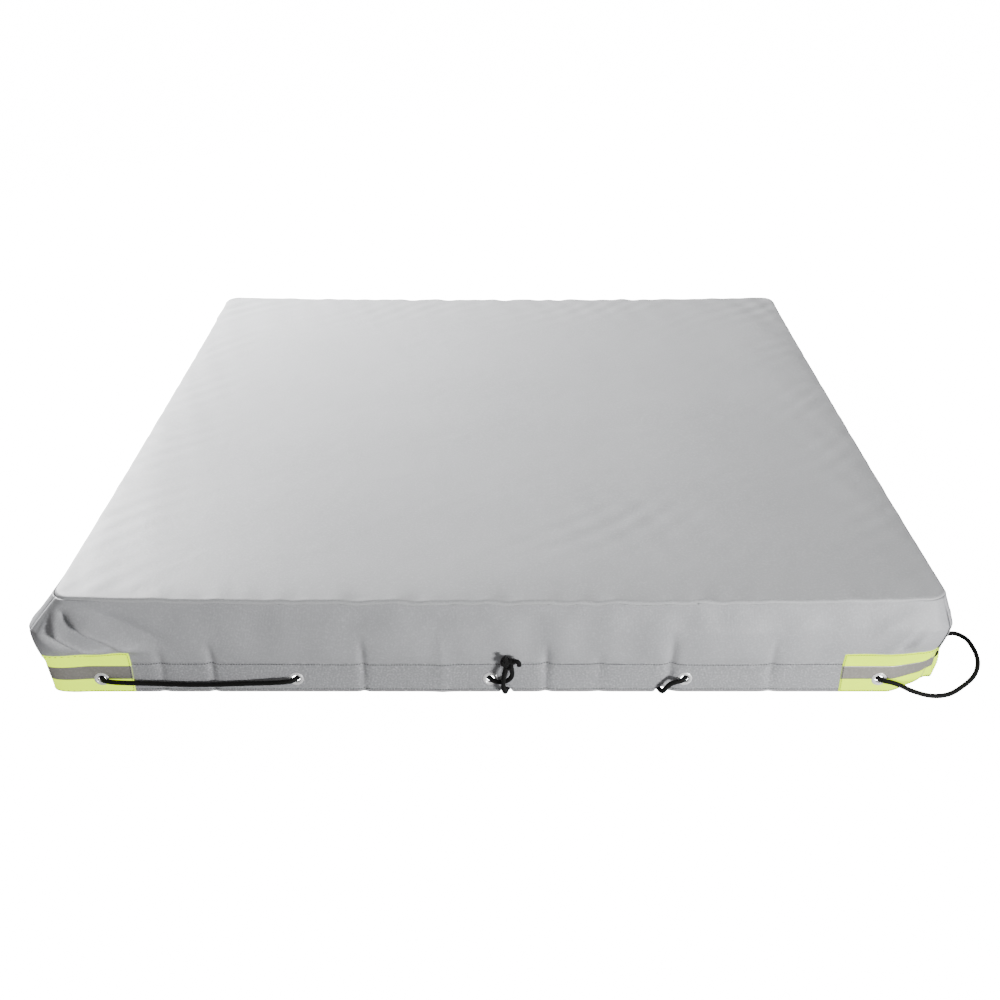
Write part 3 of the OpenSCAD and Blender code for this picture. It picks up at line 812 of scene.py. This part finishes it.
# Glass beads give a warm grey with a soft, half metallic sheen
strip_cloth = woven("silver_bead_strip", "ACA9A2", "A09D96", 0.38, 0.15, 0.10, "B4B1AA")
strip_cloth.node_tree.nodes["Principled BSDF"].inputs["Metallic"].default_value = 0.35
for corner, name in enumerate(CORNERS):
    before = (corner + 3) % 4
    spans = [(before, side_half[before] - TAPE_RIGHT, half[before] + ARC),
             (corner, -half[corner] - ARC, -side_half[corner] + TAPE_LEFT)]
    tape = wall_piece(name + "_tape_cloth", spans, np.linspace(tape_low, tape_high, TAPE_GRID), TAPE_T,
                      TAPE_T - TAPE_GAP, tape_cloth, hole=HOLE_R, step=FINE_STEP)
    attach(tape, "root")
    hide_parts(name + "_tape")
    strip = wall_piece(name + "_strip_cloth", spans, np.linspace(strip_low, strip_high, STRIP_GRID),
                       TAPE_T + STRIP_T, STRIP_T - TAPE_GAP, strip_cloth, hole=HOLE_R, step=FINE_STEP)
    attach(strip, "root")
    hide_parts(name + "_strip")

# ---- Stitching ----
# Thick bonded polyester thread, dark grey. Two rows run round the hem, and one row runs round the
# edge of every tape. Each stitch is a small raised bead of thread some 4 mm long, a tube whose
# ends narrow, and the thread is dull.
STITCH_PITCH = 0.0055
STITCH_HALF = 0.0021
THREAD_R = 0.0007
thread_material, shader, _ = new_material("bonded_polyester_thread")
shader.inputs["Base Color"].default_value = linear("333436")
shader.inputs["Roughness"].default_value = 0.7
BEAD_SIDES = 6
BEAD_SHAPE = ((-1, 0.45), (-0.6, 1), (0.6, 1), (1, 0.45))
ring = np.arange(BEAD_SIDES) * 2 * np.pi / BEAD_SIDES
bead = np.array([[along, wide * math.cos(a), wide * math.sin(a)] for along, wide in BEAD_SHAPE for a in ring])
bead_ends = [list(range(BEAD_SIDES))[::-1], list(range(len(bead) - BEAD_SIDES, len(bead)))]
bead_faces = grid_faces(len(BEAD_SHAPE), BEAD_SIDES, closed=True).tolist() + bead_ends


def stitches(side, start, end, stand):
    """Beads of thread from start to end, each a (place along, height) on a side, stand proud of it."""
    start, end = np.array(start), np.array(end)
    count = max(2, int(np.linalg.norm(end - start) / STITCH_PITCH))
    at = start + (end - start) * ((np.arange(count) + 0.5) / count)[:, None]
    way = (end - start) / np.linalg.norm(end - start)
    tiny = 0.0005
    middle = cloth(side, at[:, 0], at[:, 1], stand)
    ahead = cloth(side, at[:, 0] + tiny * way[0], at[:, 1] + tiny * way[1], stand) - middle
    aside = cloth(side, at[:, 0] - tiny * way[1], at[:, 1] + tiny * way[0], stand) - middle
    ahead /= np.linalg.norm(ahead, axis=1)[:, None]
    out = np.cross(ahead, aside)
    out /= np.linalg.norm(out, axis=1)[:, None]
    aside = np.cross(out, ahead)
    round_it = bead[None, :, 1:2] * aside[:, None] + bead[None, :, 2:] * out[:, None]
    points = middle[:, None] + STITCH_HALF * bead[None, :, :1] * ahead[:, None] + THREAD_R * round_it
    return points.reshape(-1, 3)


def stitching(name, rows):
    """One piece from many rows of stitches."""
    points = np.concatenate(rows)
    count = len(points) // len(bead)
    faces = [[i + k * len(bead) for i in face] for k in range(count) for face in bead_faces]
    piece = mesh_piece(name, points, faces, thread_material)
    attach(piece, "root")


HEM_ROWS = (0.0075, 0.0715)
PROUD = 0.0003
for side, name in enumerate(SIDES):
    total = half[side] + ARC
    start = max(-total, -side_half[side] + TAPE_LEFT)
    rows = [stitches(side, (start, z), (side_half[side] - TAPE_RIGHT, z), PROUD) for z in HEM_ROWS]
    stitching(name + "_hem_stitches", rows)
EDGE = 0.003
for corner, name in enumerate(CORNERS):
    before = (corner + 3) % 4
    proud = TAPE_T + PROUD
    left = (before, side_half[before] - TAPE_RIGHT + EDGE, half[before] + ARC)
    right = (corner, -half[corner] - ARC, -side_half[corner] + TAPE_LEFT - EDGE)
    rows = [stitches(side, (start, z), (end, z), proud) for side, start, end in (left, right)
            for z in (tape_low + EDGE, tape_high - EDGE)]
    rows.append(stitches(before, (left[1], tape_low + EDGE), (left[1], tape_high - EDGE), proud + STRIP_T))
    rows.append(stitches(corner, (right[2], tape_low + EDGE), (right[2], tape_high - EDGE), proud + STRIP_T))
    stitching(name + "_tape_stitches", rows)

# ---- Eyelets and their washers ----
# Spun rings of nickel-plated brass, one in each hole of the hem, with a flat washer behind. Nickel
# is bright with the faint haze of handling, and it is drawn less metallic than real so that it
# stays pale in the white room.
nickel, shader, _ = new_material("nickel_plated_brass")
shader.inputs["Base Color"].default_value = linear("FFFFFF")
shader.inputs["Metallic"].default_value = 0.3
shader.inputs["Roughness"].default_value = 0.3
for name in SIDES:
    for kind in ("_eyelets", "_washers"):
        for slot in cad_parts[name + kind].material_slots:
            slot.material = nickel
